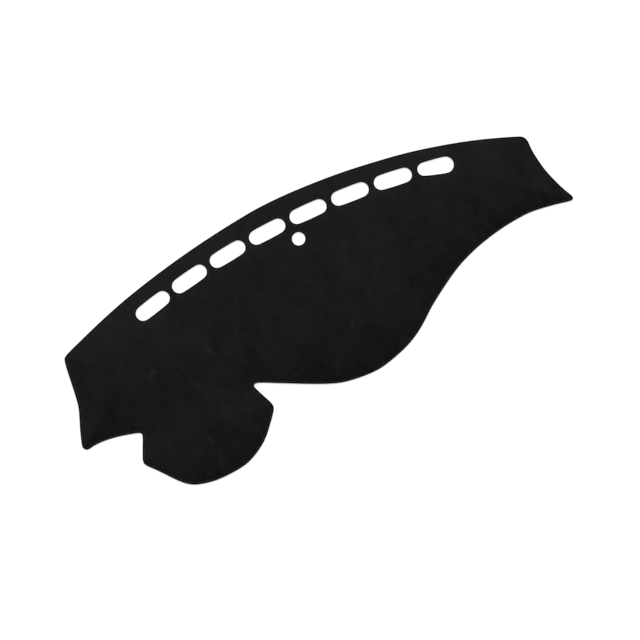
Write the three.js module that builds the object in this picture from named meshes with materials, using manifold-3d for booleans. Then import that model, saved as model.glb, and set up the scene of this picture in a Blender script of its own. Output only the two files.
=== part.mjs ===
// Dashboard cover mat for a left-hand-drive car.
//
// One sheet of suede-like cloth is cut to the top of the dashboard. Eight slots lie over the
// windscreen vents and a round hole lies over the sun sensor. Thread is wrapped round every cut
// edge, and four sewn darts lift the sheet into low domes over the instruments and over the middle
// of the dashboard.
//
// Millimetres. X runs along the windscreen towards the passenger, Y towards the windscreen and Z up.
// The mat lies on the plane z = 0 with the origin under the middle of its box.

import * as THREE from "three";
import { mergeVertices } from "three/addons/utils/BufferGeometryUtils.js";
import Module from "manifold-3d";

// Cloth and thread
const CLOTH_THICKNESS = 3.0;
const THREAD_THICKNESS = 0.6;
const OVERLOCK_WIDTH = 5.0;
const OVERLOCK_ROUNDING = 0.8;
const SEAM_WIDTH = 1.8;
const SEAM_START = 3.0;
const FIT_GAP = 0.3;

// Outline of the finished mat, corner to corner before the corners are rounded
const FRONT_SPAN = 1411;
const DRIVER_TIP_RISE = 26;
const PASSENGER_TIP_RISE = 52;
const WINDSCREEN_SPAN = 1304;
const WINDSCREEN_SHIFT = 10;
const DRIVER_END_DEPTH = 240;
const PASSENGER_END_DEPTH = 201;
const HOOD_FROM_DRIVER_TIP = 311.5;
const HOOD_TILT = THREE.MathUtils.degToRad(2.6);
const HOOD_NECK_WIDTH = 305;
const HOOD_WIDTH = 367;
const HOOD_SIDE_LENGTH = 73;

// How far each edge bows out from the straight line between its corners, and how far along that
// line the middle lobe reaches furthest, as a share of it
const WINDSCREEN_BOW = 131;
const HOOD_BOW = 113;
const LOBE_BOW = 125;
const LOBE_PEAK = 0.3;
const PASSENGER_END_BOW = -15;
const DRIVER_END_BOW = -12;
const DRIVER_FRONT_BOW = -11;

// Corner radii
const WINDSCREEN_RIGHT_RADIUS = 22;
const WINDSCREEN_LEFT_RADIUS = 16;
const DRIVER_TIP_RADIUS = 13;
const PASSENGER_TIP_RADIUS = 7;
const HOOD_CORNER_RADIUS = 19;
const HOOD_NOTCH_RADIUS = 6;

// Defroster slots and sensor hole, as finished openings inside the thread
const VENT_COUNT = 8;
const VENT_LENGTH = 99;
const VENT_WIDTH = 36.8;
const VENT_BRIDGE = 16.7;
const VENT_ROW_RADIUS = 1950;
const VENT_ROW_SHIFT = 22;
const WINDSCREEN_STRIP = 45.7;
const LAST_VENT_LENGTH = 93;
const LAST_VENT_INNER_WIDTH = 33;
const LAST_VENT_OUTER_WIDTH = 41;
const LAST_VENT_TILT = THREE.MathUtils.degToRad(2.9);
const SENSOR_DIAMETER = 33.5;
const SENSOR_SHIFT = 28;
const SENSOR_STRIP = 17.3;

// Darts, the broad domes that they give the hood and the lobe, and the peaks at their tips
const HOOD_DART_REACH = 140;
const HOOD_DART_TIP_GAP = 128;
const HOOD_DART_SHIFT = 9;
const HOOD_DART_BOW = 13;
const HOOD_FRONT_DART_LENGTH = 121;
const CENTRE_DART_LENGTH = 152;
const CENTRE_DART_LEAN = 5;
const HOOD_DOME_HEIGHT = 11;
const HOOD_DOME_RADIUS = 235;
const HOOD_DOME_SETBACK = 55;
const LOBE_DOME_HEIGHT = 9;
const LOBE_DOME_RADIUS = 235;
const LOBE_DOME_REACH = 190;
const DART_PEAK_HEIGHT = 4.5;
const DART_PEAK_RADIUS = 85;
const EDGE_RAMP = 100;

// Fineness of the faceted model
const CHORD_DEPTH = 0.7;
const SHEET_GRID = 21;
const SEAM_STEP = 20;
const FLATNESS = 0.04;
const OVERSHOOT = 1;

const CLOTH_COLOR = 0x1b1b1b;
const THREAD_COLOR = 0x222222;
const ROUGHNESS = 0.95;

const wasm = await Module();
wasm.setup();

// Plane curves

const at = (x, y) => new THREE.Vector2(x, y);

// Points along a curve, closer together where it bends, so that no chord strays by more than
// CHORD_DEPTH. The last point is left out when the next curve starts with it.
function sample(curve, keepLast = true) {
  const points = [];
  const strays = (start, end) => {
    const a = curve.getPoint(start);
    const chord = curve.getPoint(end).sub(a);
    return [0.25, 0.5, 0.75].some((share) => {
      const offset = curve.getPoint(start + (end - start) * share).sub(a);
      return Math.abs(chord.cross(offset)) > CHORD_DEPTH * chord.length();
    });
  };
  const divide = (start, end) => {
    if (strays(start, end)) {
      const middle = (start + end) / 2;
      divide(start, middle);
      divide(middle, end);
    } else {
      points.push(curve.getPoint(start));
    }
  };
  divide(0, 0.5);
  divide(0.5, 1);
  if (keepLast) points.push(curve.getPoint(1));
  return points;
}

// A smooth edge from one corner to another. The profile gives pairs of the share of the way
// along and the share of the bow, which is measured to the right of the way.
function bowedEdge(from, to, bow, profile) {
  const way = to.clone().sub(from);
  const right = at(way.y, -way.x).normalize();
  const between = profile.map(([along, share]) =>
    from.clone().addScaledVector(way, along).addScaledVector(right, bow * share),
  );
  return new THREE.SplineCurve([from, ...between, to]);
}

// The part of a sampled edge that is left once the corner rounding has taken a length off its start.
function trimStart(points, length) {
  let left = length;
  let index = 0;
  let step = points[0].distanceTo(points[1]);
  while (step < left) {
    left -= step;
    index += 1;
    step = points[index].distanceTo(points[index + 1]);
  }
  return [points[index].clone().lerp(points[index + 1], left / step), ...points.slice(index + 1)];
}

// A closed outline through corners, each rounded to its radius. The edge that leaves a corner has
// the bow and profile given with it.
function roundedLoop(corners) {
  const following = (list, index) => list[(index + 1) % list.length];
  const lines = corners.map(({ corner, bow, profile }, index) =>
    sample(bowedEdge(corner, following(corners, index).corner, bow, profile)),
  );
  const cuts = corners.map(({ corner, radius }, index) => {
    const before = lines.at(index - 1).at(-2).clone().sub(corner);
    const after = lines[index][1].clone().sub(corner);
    return radius / Math.tan(before.angleTo(after) / 2);
  });
  const trimmed = lines.map((line, index) => {
    const started = trimStart(line, cuts[index]);
    return trimStart(started.reverse(), following(cuts, index)).reverse();
  });
  return trimmed.flatMap((line, index) => {
    const next = following(trimmed, index);
    const start = line.at(-1);
    const end = next[0];
    const heading = start.clone().sub(line.at(-2)).normalize();
    const leaving = next[1].clone().sub(end).normalize();
    const turn = heading.angleTo(leaving);
    const handle = ((2 / 3) * Math.tan(turn / 4) * start.distanceTo(end)) / Math.sin(turn / 2);
    const round = new THREE.CubicBezierCurve(
      start,
      start.clone().addScaledVector(heading, handle),
      end.clone().addScaledVector(leaving, -handle),
      end,
    );
    return [...line.slice(0, -1), ...sample(round, false)];
  });
}

// A loop moved sideways to its left, into the cloth.
function inset(loop, distance) {
  return loop.map((point, index) => {
    const before = point.clone().sub(loop.at(index - 1)).normalize();
    const after = loop[(index + 1) % loop.length].clone().sub(point).normalize();
    const normal = at(-before.y - after.y, before.x + after.x);
    return point.clone().addScaledVector(normal, (2 * distance) / normal.lengthSq());
  });
}

// Distance from a point to a loop.
function distanceTo(loop, x, y) {
  let nearest = Infinity;
  for (let index = 0; index < loop.length; index += 1) {
    const a = loop[index];
    const b = loop[(index + 1) % loop.length];
    const [dx, dy] = [b.x - a.x, b.y - a.y];
    const share = ((x - a.x) * dx + (y - a.y) * dy) / (dx * dx + dy * dy);
    const held = THREE.MathUtils.clamp(share, 0, 1);
    nearest = Math.min(nearest, Math.hypot(x - a.x - dx * held, y - a.y - dy * held));
  }
  return nearest;
}

// Outline of the mat, anticlockwise. The neck of the instrument hood lies on y = 0.

const neckMiddle = at(HOOD_FROM_DRIVER_TIP - FRONT_SPAN / 2, 0);
const hood = (x, y) => at(x, y).rotateAround(at(0, 0), -HOOD_TILT).add(neckMiddle);

const passengerTip = at(FRONT_SPAN / 2, PASSENGER_TIP_RISE);
const driverTip = at(-FRONT_SPAN / 2, DRIVER_TIP_RISE);
const windscreenRight = at(WINDSCREEN_SHIFT + WINDSCREEN_SPAN / 2, passengerTip.y + PASSENGER_END_DEPTH);
const windscreenLeft = at(WINDSCREEN_SHIFT - WINDSCREEN_SPAN / 2, driverTip.y + DRIVER_END_DEPTH);
const hoodNotchLeft = hood(-HOOD_NECK_WIDTH / 2, 0);
const hoodNotchRight = hood(HOOD_NECK_WIDTH / 2, 0);
const hoodCornerLeft = hood(-HOOD_WIDTH / 2, -HOOD_SIDE_LENGTH);
const hoodCornerRight = hood(HOOD_WIDTH / 2, -HOOD_SIDE_LENGTH);

const passengerEnd = [[0.21, 0.58], [0.52, 1], [0.82, 0.67]];
const windscreen = [
  [0.062, 0.25], [0.139, 0.5], [0.239, 0.74], [0.37, 0.93], [0.5, 1],
  [0.6, 0.933], [0.715, 0.772], [0.83, 0.535], [0.921, 0.275],
];
const driverEnd = [[0.26, 0.49], [0.51, 1], [0.75, 0.43]];
const driverFront = [[0.28, 1], [0.63, 0.96]];
const hoodFront = [
  [0.072, 0.254], [0.22, 0.79], [0.345, 0.964], [0.495, 1], [0.67, 0.925], [0.815, 0.676], [0.906, 0.388],
];
const lobeFront = [
  [0.022, 0.05], [0.088, 0.354], [0.17, 0.72], [0.226, 0.9], [LOBE_PEAK, 1], [0.353, 0.975], [0.417, 0.867],
  [0.471, 0.684], [0.537, 0.37], [0.646, -0.024], [0.753, -0.211], [0.859, -0.246], [0.932, -0.144],
];

const outline = roundedLoop([
  { corner: passengerTip, radius: PASSENGER_TIP_RADIUS, bow: PASSENGER_END_BOW, profile: passengerEnd },
  { corner: windscreenRight, radius: WINDSCREEN_RIGHT_RADIUS, bow: WINDSCREEN_BOW, profile: windscreen },
  { corner: windscreenLeft, radius: WINDSCREEN_LEFT_RADIUS, bow: DRIVER_END_BOW, profile: driverEnd },
  { corner: driverTip, radius: DRIVER_TIP_RADIUS, bow: DRIVER_FRONT_BOW, profile: driverFront },
  { corner: hoodNotchLeft, radius: HOOD_NOTCH_RADIUS, bow: 0, profile: [] },
  { corner: hoodCornerLeft, radius: HOOD_CORNER_RADIUS, bow: HOOD_BOW, profile: hoodFront },
  { corner: hoodCornerRight, radius: HOOD_CORNER_RADIUS, bow: 0, profile: [] },
  { corner: hoodNotchRight, radius: HOOD_NOTCH_RADIUS, bow: LOBE_BOW, profile: lobeFront },
]);

// Openings, clockwise, so that the cloth is on their left too

// A slot with round ends that may differ, as the outline of two circles side by side.
function slotLoop(length, innerWidth, outerWidth) {
  const [inner, outer] = [innerWidth / 2, outerWidth / 2];
  const reach = length - inner - outer;
  const lean = Math.asin((inner - outer) / reach);
  const top = Math.PI / 2 - lean;
  const left = -length / 2 + inner;
  const outerEnd = new THREE.EllipseCurve(left + reach, 0, outer, outer, top, -top, true);
  const innerEnd = new THREE.EllipseCurve(left, 0, inner, inner, -top, top, true);
  return [...sample(outerEnd), ...sample(innerEnd)];
}

const windscreenApex = (windscreenLeft.y + windscreenRight.y) / 2 + WINDSCREEN_BOW;
const ventRow = windscreenApex - WINDSCREEN_STRIP - VENT_WIDTH / 2;
const ventPitch = VENT_LENGTH + VENT_BRIDGE;

const vents = Array.from({ length: VENT_COUNT }, (_, index) => {
  const turn = ((index - (VENT_COUNT - 1) / 2) * ventPitch) / VENT_ROW_RADIUS;
  const last = index === VENT_COUNT - 1;
  const loop = last
    ? slotLoop(LAST_VENT_LENGTH, LAST_VENT_INNER_WIDTH, LAST_VENT_OUTER_WIDTH)
    : slotLoop(VENT_LENGTH, VENT_WIDTH, VENT_WIDTH);
  const tilt = -turn - (last ? LAST_VENT_TILT : 0);
  const centre = at(
    VENT_ROW_SHIFT + VENT_ROW_RADIUS * Math.sin(turn) - (last ? (VENT_LENGTH - LAST_VENT_LENGTH) / 2 : 0),
    ventRow - VENT_ROW_RADIUS * (1 - Math.cos(turn)),
  );
  return loop.map((point) => point.rotateAround(at(0, 0), tilt).add(centre));
});

const sensorRadius = SENSOR_DIAMETER / 2;
const sensorY = ventRow - VENT_WIDTH / 2 - SENSOR_STRIP - sensorRadius;
const sensorHole = sample(
  new THREE.EllipseCurve(SENSOR_SHIFT, sensorY, sensorRadius, sensorRadius, 0, 2 * Math.PI, true),
  false,
);

// Darts, each from its mouth at the edge to its tip inside the sheet

const hoodTip = (side) => hood(side * (HOOD_DART_TIP_GAP / 2) + HOOD_DART_SHIFT, HOOD_DART_REACH);
const hoodFrontMouth = hood(0, -HOOD_SIDE_LENGTH - HOOD_BOW);
const hoodFrontTip = hood(0, -HOOD_SIDE_LENGTH - HOOD_BOW + HOOD_FRONT_DART_LENGTH);
const lobeWay = passengerTip.clone().sub(hoodNotchRight);
const lobeMouth = hoodNotchRight
  .clone()
  .addScaledVector(lobeWay, LOBE_PEAK)
  .addScaledVector(at(lobeWay.y, -lobeWay.x).normalize(), LOBE_BOW);
const centreTip = lobeMouth.clone().add(at(CENTRE_DART_LEAN, CENTRE_DART_LENGTH));

const darts = [
  { name: "hood_left_dart_thread", mouth: hoodNotchLeft, tip: hoodTip(-1), bow: -HOOD_DART_BOW },
  { name: "hood_right_dart_thread", mouth: hoodNotchRight, tip: hoodTip(1), bow: HOOD_DART_BOW },
  { name: "hood_front_dart_thread", mouth: hoodFrontMouth, tip: hoodFrontTip, bow: 0 },
  { name: "centre_dart_thread", mouth: lobeMouth, tip: centreTip, bow: 0 },
];

// Height of the sheet above the plane that it lies on. It stays flat along every edge, over the
// rim and over each facet that reaches the rim.

const cutDepth = THREAD_THICKNESS + FIT_GAP;
const rimDepth = OVERLOCK_WIDTH + FIT_GAP;
const flatBorder = rimDepth + Math.SQRT2 * SHEET_GRID;

const lobeMiddle = lobeMouth.clone().add(at(0, LOBE_DOME_REACH));
const domes = [
  { centre: hood(0, -HOOD_DOME_SETBACK), height: HOOD_DOME_HEIGHT, radius: HOOD_DOME_RADIUS },
  { centre: lobeMiddle, height: LOBE_DOME_HEIGHT, radius: LOBE_DOME_RADIUS },
  ...darts.map(({ tip }) => ({ centre: tip, height: DART_PEAK_HEIGHT, radius: DART_PEAK_RADIUS })),
];

function relief(x, y) {
  const swell = domes.reduce((sum, { centre, height, radius }) => {
    const share = Math.min(Math.hypot(x - centre.x, y - centre.y) / radius, 1);
    return sum + (height * (1 + Math.cos(Math.PI * share))) / 2;
  }, 0);
  if (swell === 0) return 0;
  const toEdge = Math.min(...[outline, sensorHole, ...vents].map((loop) => distanceTo(loop, x, y)));
  return swell * THREE.MathUtils.smoothstep(toEdge, flatBorder, flatBorder + EDGE_RAMP);
}

// Solids

// A section carried round a loop as a closed ring. The section is clockwise in (distance into the
// cloth, height).
function band(loop, section) {
  const tracks = section.map(([distance]) => inset(loop, distance));
  const positions = loop.flatMap((_, index) =>
    section.flatMap(([, height], corner) => [...tracks[corner][index], height]),
  );
  const indices = [];
  const corners = section.length;
  for (let station = 0; station < loop.length; station += 1) {
    const next = (station + 1) % loop.length;
    for (let corner = 0; corner < corners; corner += 1) {
      const beside = (corner + 1) % corners;
      const [a, b] = [station * corners + corner, station * corners + beside];
      const [c, d] = [next * corners + corner, next * corners + beside];
      indices.push(a, c, b, b, c, d);
    }
  }
  const geometry = new THREE.BufferGeometry();
  geometry.setAttribute("position", new THREE.Float32BufferAttribute(positions, 3));
  geometry.setIndex(indices);
  return geometry;
}

function toSolid(geometry) {
  const bare = geometry.clone();
  bare.deleteAttribute("normal");
  bare.deleteAttribute("uv");
  const merged = mergeVertices(bare);
  return new wasm.Manifold(
    new wasm.Mesh({
      numProp: 3,
      vertProperties: new Float32Array(merged.attributes.position.array),
      triVerts: new Uint32Array(merged.index.array),
    }),
  );
}

function toGeometry(solid) {
  const mesh = solid.getMesh();
  const geometry = new THREE.BufferGeometry();
  geometry.setAttribute("position", new THREE.BufferAttribute(mesh.vertProperties, 3));
  geometry.setIndex(new THREE.BufferAttribute(mesh.triVerts, 1));
  return geometry;
}

// A layer of the sheet before it is cut, between two heights above its underside. Every layer has
// the same facets, so one fits in another.
function layer(low, high) {
  const box = new THREE.Box2().setFromPoints(outline).expandByScalar(SHEET_GRID);
  const size = box.getSize(at(0, 0));
  const centre = box.getCenter(at(0, 0));
  const columns = Math.ceil(size.x / SHEET_GRID);
  const rows = Math.ceil(size.y / SHEET_GRID);
  const slab = new THREE.BoxGeometry(size.x, size.y, high - low, columns, rows, 1);
  slab.translate(centre.x, centre.y, (low + high) / 2);
  const points = slab.attributes.position;
  for (let index = 0; index < points.count; index += 1) {
    points.setZ(index, points.getZ(index) + relief(points.getX(index), points.getY(index)));
  }
  return toSolid(slab);
}

// A shape of the plan, cut straight through the sheet at its highest.
function throughCut(shape) {
  const highest = domes.reduce((sum, { height }) => sum + height, CLOTH_THICKNESS);
  const geometry = new THREE.ExtrudeGeometry(shape, { depth: highest + 2 * OVERSHOOT, bevelEnabled: false });
  return toSolid(geometry.translate(0, 0, -OVERSHOOT));
}

// The plan of a dart's row of thread, widened and lengthened by a clearance.
function seamPlan({ mouth, tip, bow }, clearance) {
  const curve = bowedEdge(mouth, tip, bow, [[0.5, 1]]);
  const whole = curve.getSpacedPoints(Math.ceil(curve.getLength() / SEAM_STEP));
  const started = trimStart(whole, rimDepth + SEAM_START - clearance);
  const path = trimStart(started.reverse(), FIT_GAP - clearance).reverse();
  const side = (way) =>
    path.map((point, index) => {
      const ahead = path[Math.min(index + 1, path.length - 1)];
      const behind = path[Math.max(index - 1, 0)];
      const across = at(behind.y - ahead.y, ahead.x - behind.x).setLength(SEAM_WIDTH / 2 + clearance);
      return point.clone().addScaledVector(across, way);
    });
  return new THREE.Shape([...side(-1), ...side(1).reverse()]);
}

// The cut edges of the cloth lie behind the thread, and their rims are pressed thin between its legs.

function rimCutter(loop, low, high) {
  return toSolid(band(loop, [[0, low], [0, high], [rimDepth, high], [rimDepth, low]]));
}

function matPanel() {
  const openings = [sensorHole, ...vents];
  const plan = new THREE.Shape(inset(outline, cutDepth));
  plan.holes = openings.map((loop) => new THREE.Path(inset(loop, cutDepth)));
  let panel = layer(0, CLOTH_THICKNESS).intersect(throughCut(plan));
  for (const loop of [outline, ...openings]) {
    panel = panel.subtract(rimCutter(loop, CLOTH_THICKNESS - cutDepth, CLOTH_THICKNESS + OVERSHOOT));
    panel = panel.subtract(rimCutter(loop, -OVERSHOOT, cutDepth));
  }
  const channelLayer = layer(CLOTH_THICKNESS - cutDepth, CLOTH_THICKNESS + OVERSHOOT);
  for (const dart of darts) {
    panel = panel.subtract(channelLayer.intersect(throughCut(seamPlan(dart, FIT_GAP))));
  }
  return toGeometry(panel.asOriginal().simplify(FLATNESS));
}

// Thread wrapped over and under an edge, with its back rounded.
function overlock(loop) {
  const top = CLOTH_THICKNESS;
  const inner = THREAD_THICKNESS;
  return band(loop, [
    [0, OVERLOCK_ROUNDING],
    [0, top - OVERLOCK_ROUNDING],
    [OVERLOCK_ROUNDING, top],
    [OVERLOCK_WIDTH, top],
    [OVERLOCK_WIDTH, top - inner],
    [inner, top - inner],
    [inner, inner],
    [OVERLOCK_WIDTH, inner],
    [OVERLOCK_WIDTH, 0],
    [OVERLOCK_ROUNDING, 0],
  ]);
}

// A row of thread in the channel of a dart, flush with the cloth.
function dartThread(dart) {
  const threadLayer = layer(CLOTH_THICKNESS - THREAD_THICKNESS, CLOTH_THICKNESS);
  return toGeometry(threadLayer.intersect(throughCut(seamPlan(dart, 0))).asOriginal().simplify(FLATNESS));
}

function piece(name, geometry, color) {
  const material = new THREE.MeshStandardMaterial({ color, roughness: ROUGHNESS, metalness: 0 });
  const mesh = new THREE.Mesh(geometry, material);
  mesh.name = name;
  return mesh;
}

const mat = new THREE.Group();
mat.add(piece("mat_panel", matPanel(), CLOTH_COLOR));
mat.add(piece("outer_edge_overlock", overlock(outline), THREAD_COLOR));
mat.add(piece("sensor_hole_overlock", overlock(sensorHole), THREAD_COLOR));
vents.forEach((loop, index) => mat.add(piece(`vent_${index + 1}_overlock`, overlock(loop), THREAD_COLOR)));
darts.forEach((dart) => mat.add(piece(dart.name, dartThread(dart), THREAD_COLOR)));

const middle = new THREE.Box2().setFromPoints(outline).getCenter(at(0, 0));
mat.position.set(-middle.x, -middle.y, 0);

export default mat;
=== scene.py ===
import functools
import math

import bpy
import numpy as np
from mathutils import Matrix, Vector, noise
from mathutils.bvhtree import BVHTree
from mathutils.geometry import delaunay_2d_cdt


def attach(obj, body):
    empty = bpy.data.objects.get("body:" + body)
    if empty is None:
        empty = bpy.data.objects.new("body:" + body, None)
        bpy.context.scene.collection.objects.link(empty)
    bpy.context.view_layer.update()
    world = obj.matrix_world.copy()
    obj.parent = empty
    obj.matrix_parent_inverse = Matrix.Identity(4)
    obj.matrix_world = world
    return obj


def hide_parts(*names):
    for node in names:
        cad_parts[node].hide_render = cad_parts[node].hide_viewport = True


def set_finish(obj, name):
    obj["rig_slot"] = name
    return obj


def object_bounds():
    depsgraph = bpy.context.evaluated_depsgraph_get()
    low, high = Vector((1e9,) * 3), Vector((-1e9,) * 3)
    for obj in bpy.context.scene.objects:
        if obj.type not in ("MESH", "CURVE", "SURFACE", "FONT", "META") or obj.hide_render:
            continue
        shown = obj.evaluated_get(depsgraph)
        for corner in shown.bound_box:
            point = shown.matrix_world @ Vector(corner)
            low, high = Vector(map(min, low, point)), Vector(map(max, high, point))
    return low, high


# A suede-like dashboard cover mat with overlocked edges and sewn darts, laid flat and seen from
# above. Metres. X runs along the windscreen towards the passenger and Y towards the windscreen.

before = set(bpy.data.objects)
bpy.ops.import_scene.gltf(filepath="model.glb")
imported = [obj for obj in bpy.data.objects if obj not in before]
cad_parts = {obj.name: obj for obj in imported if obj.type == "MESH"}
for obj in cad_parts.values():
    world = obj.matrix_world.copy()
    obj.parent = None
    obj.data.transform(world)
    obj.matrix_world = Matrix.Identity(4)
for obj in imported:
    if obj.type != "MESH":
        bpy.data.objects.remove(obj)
cad_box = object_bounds()

bl_info = {
    "name": "Dashboard Cover Mat",
    "version": (1, 0, 0),
    "blender": (4, 5, 0),
    "location": "3D View > Sidebar > Dash Mat",
    "description": "Makes the cloth, edge threads, dart seams and studio of a dashboard cover mat",
    "category": "Object",
}

MM = 0.001
BODY = "root"
PANEL_NODE = "mat_panel"
VENT_NODES = sorted(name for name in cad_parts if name.startswith("vent_"))
OUTER_NODE = "outer_edge_overlock"
OPENING_NODES = [*VENT_NODES, "sensor_hole_overlock"]
DART_NODES = sorted(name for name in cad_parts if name.endswith("_dart_thread"))

# The back of each CAD rim band is straight up to this height, where the finished line is read
RIM_SHOULDER = 2.2 * MM
WELD = 5e-5


# Sizes and colours that a user would change


def metres(name, description, default):
    """A size in metres."""
    return bpy.props.FloatProperty(name=name, description=description, default=default, unit="LENGTH")


def degrees(name, description, default):
    """An angle, given in degrees."""
    turn = math.radians(default)
    return bpy.props.FloatProperty(name=name, description=description, default=turn, subtype="ANGLE")


def level(name, description, default):
    """A plain number."""
    return bpy.props.FloatProperty(name=name, description=description, default=default)


def tint(name, description, red, green, blue):
    """A linear colour."""
    color = (red, green, blue)
    return bpy.props.FloatVectorProperty(name=name, description=description, default=color, subtype="COLOR")


class DashMatClothSettings(bpy.types.PropertyGroup):
    thickness: metres("Thickness", "Thickness of the suede-like cloth", 3 * MM)
    grid: metres("Grid", "Distance between the points of the sheet", 5.4 * MM)
    rim_squeeze: metres("Rim Squeeze", "How far the edge threads press each face of the cloth in", 0.75 * MM)
    seam_depth: metres("Seam Depth", "Depth of the groove along a dart", 1.5 * MM)
    seam_lip: metres("Seam Lip", "How far the cloth rolls up beside a dart", 0.9 * MM)
    pucker: metres("Pucker", "Height of the small waves beside a dart", 0.4 * MM)
    tip_fold: metres("Tip Folds", "Height of the folds at a dart's tip", 0.7 * MM)
    waves: metres("Waves", "How far the laid sheet lifts in broad waves", 1.6 * MM)
    # These two colours are mixed by the random nap pattern and by the painted light and shade of the nap
    # attribute
    dark_nap: tint("Dark Nap", "Colour of nap brushed away", 0.0028, 0.0028, 0.0029)
    light_nap: tint("Light Nap", "Colour of nap that stands up", 0.0122, 0.0122, 0.0121)
    # Painted highlight on the fold crests at the dart tips
    fold_highlight_nap: tint("Fold Highlight Nap", "Colour of nap on a sharp fold", 0.040, 0.040, 0.0394)


class DashMatThreadSettings(bpy.types.PropertyGroup):
    radius: metres("Looper Radius", "Radius of the edge thread", 0.42 * MM)
    pitch: metres("Stitch Length", "Distance between two edge stitches", 2.4 * MM)
    reach: metres("Stitch Width", "How far an edge stitch reaches into the cloth", 4.8 * MM)
    needle_radius: metres("Needle Radius", "Radius of the needle thread", 0.3 * MM)
    dart_radius: metres("Dart Radius", "Radius of the dart threads", 0.26 * MM)
    dart_pitch: metres("Dart Stitch", "Distance between two stitches over a dart", 2.8 * MM)
    seam_width: metres("Seam Width", "Width of the stitches over a dart", 2.4 * MM)
    color: tint("Thread", "Colour of the thread", 0.0016, 0.0016, 0.0017)
    # Lighter tone of the looper thread: random fibre tone and a painted highlight on the ply crests
    fibre_and_crest_highlight: tint("Thread Fibres And Highlight", "Colour of rubbed fibres", 0.0060, 0.0060, 0.0059)
    # Both needle colours are painted far lighter than the black thread, as a painted sheen line along the
    # edge; the second also holds the painted highlight on the ply crests
    needle_color_and_sheen: tint("Needle Thread", "Colour of the needle thread", 0.085, 0.085, 0.086)
    needle_fibre_and_crest_highlight: tint("Needle Thread Fibres And Highlight", "Colour of its rubbed fibres", 0.190, 0.1895, 0.187)
    dart_color: tint("Dart Thread", "Colour of the dart threads", 0.016, 0.016, 0.0162)
    # Lighter tone of the dart threads: random fibre tone and a painted highlight on the ply crests
    dart_fibre_and_crest_highlight: tint("Dart Thread Fibres And Highlight", "Colour of their rubbed fibres", 0.046, 0.0459, 0.0452)
    seed: bpy.props.IntProperty(name="Seed", description="Seed of the uneven stitches", default=7)


class DashMatStageSettings(bpy.types.PropertyGroup):
    centre: bpy.props.FloatVectorProperty(
        name="Aim", description="Point under the camera", size=2, unit="LENGTH", default=(-0.0154, -0.0377)
    )
    turn: degrees("Turn", "Turn of the picture about the view", -26.2)
    height: metres("Height", "Height of the camera over the floor", 3.6)
    picture: metres("Picture", "Width of the floor that the picture shows", 1.6273)
    key: level("Key Light", "Strength of the far soft lamp", 2.9)
    key_rise: degrees("Key Rise", "Angle of the lamp over the floor", 40)
    key_spread: degrees("Key Spread", "Width of the lamp as seen from the mat", 50)
    fill: level("Fill", "Strength of the even light from all round", 0.4)
    floor: level("Floor", "Brightness of the floor's own colour", 0.8)
    backdrop: level("Backdrop", "Glow that takes the floor to white in the picture", 0.32)


# Lines and distances in the plane

CURVE_STEPS = 16
# Points that are measured against a line at a time, which keeps the memory small
CHUNK = 4000


def welded(node):
    """Corner points and triangles of a CAD node, with shared corners merged."""
    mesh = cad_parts[node].data
    corners = np.empty(len(mesh.vertices) * 3)
    mesh.vertices.foreach_get("co", corners)
    mesh.calc_loop_triangles()
    triangles = np.empty(len(mesh.loop_triangles) * 3, np.int32)
    mesh.loop_triangles.foreach_get("vertices", triangles)
    keys = np.round(corners.reshape(-1, 3) / (WELD / 5)).astype(np.int64)
    _, first, where = np.unique(keys, axis=0, return_index=True, return_inverse=True)
    return corners.reshape(-1, 3)[first], where.reshape(-1)[triangles].reshape(-1, 3)


def signed_area(line):
    """Area inside a closed line, positive when it runs anticlockwise."""
    x, y = line[:, 0], line[:, 1]
    return 0.5 * float(np.sum(x * np.roll(y, -1) - np.roll(x, -1) * y))


def finished_line(node, clockwise):
    """The closed line that a rim thread runs along, in order."""
    points, triangles = welded(node)
    on_line = np.abs(points[:, 2] - RIM_SHOULDER) < WELD
    neighbours = {}
    for triangle in triangles:
        for a, b in zip(triangle, np.roll(triangle, -1)):
            if on_line[a] and on_line[b]:
                neighbours.setdefault(int(a), set()).add(int(b))
                neighbours.setdefault(int(b), set()).add(int(a))
    start = min(neighbours)
    order, before, here = [start], None, start
    while True:
        ahead = [n for n in neighbours[here] if n != before]
        before, here = here, ahead[0]
        if here == start:
            break
        order.append(here)
    line = points[order, :2]
    return line[::-1] if (signed_area(line) < 0) != clockwise else line


def smooth_closed(line, spacing):
    """A closed line through the same points without corners, evenly spaced."""

    def knot(a, b):
        """Step between two points of the curve's parameter, which keeps it from overshooting."""
        return np.maximum(np.linalg.norm(b - a, axis=1), 1e-9)[:, None] ** 0.5

    p0, p1, p2, p3 = (np.roll(line, shift, axis=0) for shift in (1, 0, -1, -2))
    t1 = knot(p0, p1)
    t2 = t1 + knot(p1, p2)
    t3 = t2 + knot(p2, p3)
    pieces = []
    for share in np.linspace(0, 1, CURVE_STEPS, endpoint=False):
        t = t1 + (t2 - t1) * share
        a1 = (t1 - t) / t1 * p0 + t / t1 * p1
        a2 = (t2 - t) / (t2 - t1) * p1 + (t - t1) / (t2 - t1) * p2
        a3 = (t3 - t) / (t3 - t2) * p2 + (t - t2) / (t3 - t2) * p3
        b1 = (t2 - t) / t2 * a1 + t / t2 * a2
        b2 = (t3 - t) / (t3 - t1) * a2 + (t - t1) / (t3 - t1) * a3
        pieces.append((t2 - t) / (t2 - t1) * b1 + (t - t1) / (t2 - t1) * b2)
    fine = np.stack(pieces, axis=1).reshape(-1, 2)
    return evenly(np.vstack([fine, fine[:1]]), spacing)[:-1]


def evenly(line, spacing):
    """The same line with points at equal distances."""
    along = np.concatenate([[0], np.cumsum(np.linalg.norm(np.diff(line, axis=0), axis=1))])
    count = max(int(round(along[-1] / spacing)), 2)
    at = np.linspace(0, along[-1], count + 1)
    return np.stack([np.interp(at, along, line[:, axis]) for axis in range(line.shape[1])], axis=1)


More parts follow.
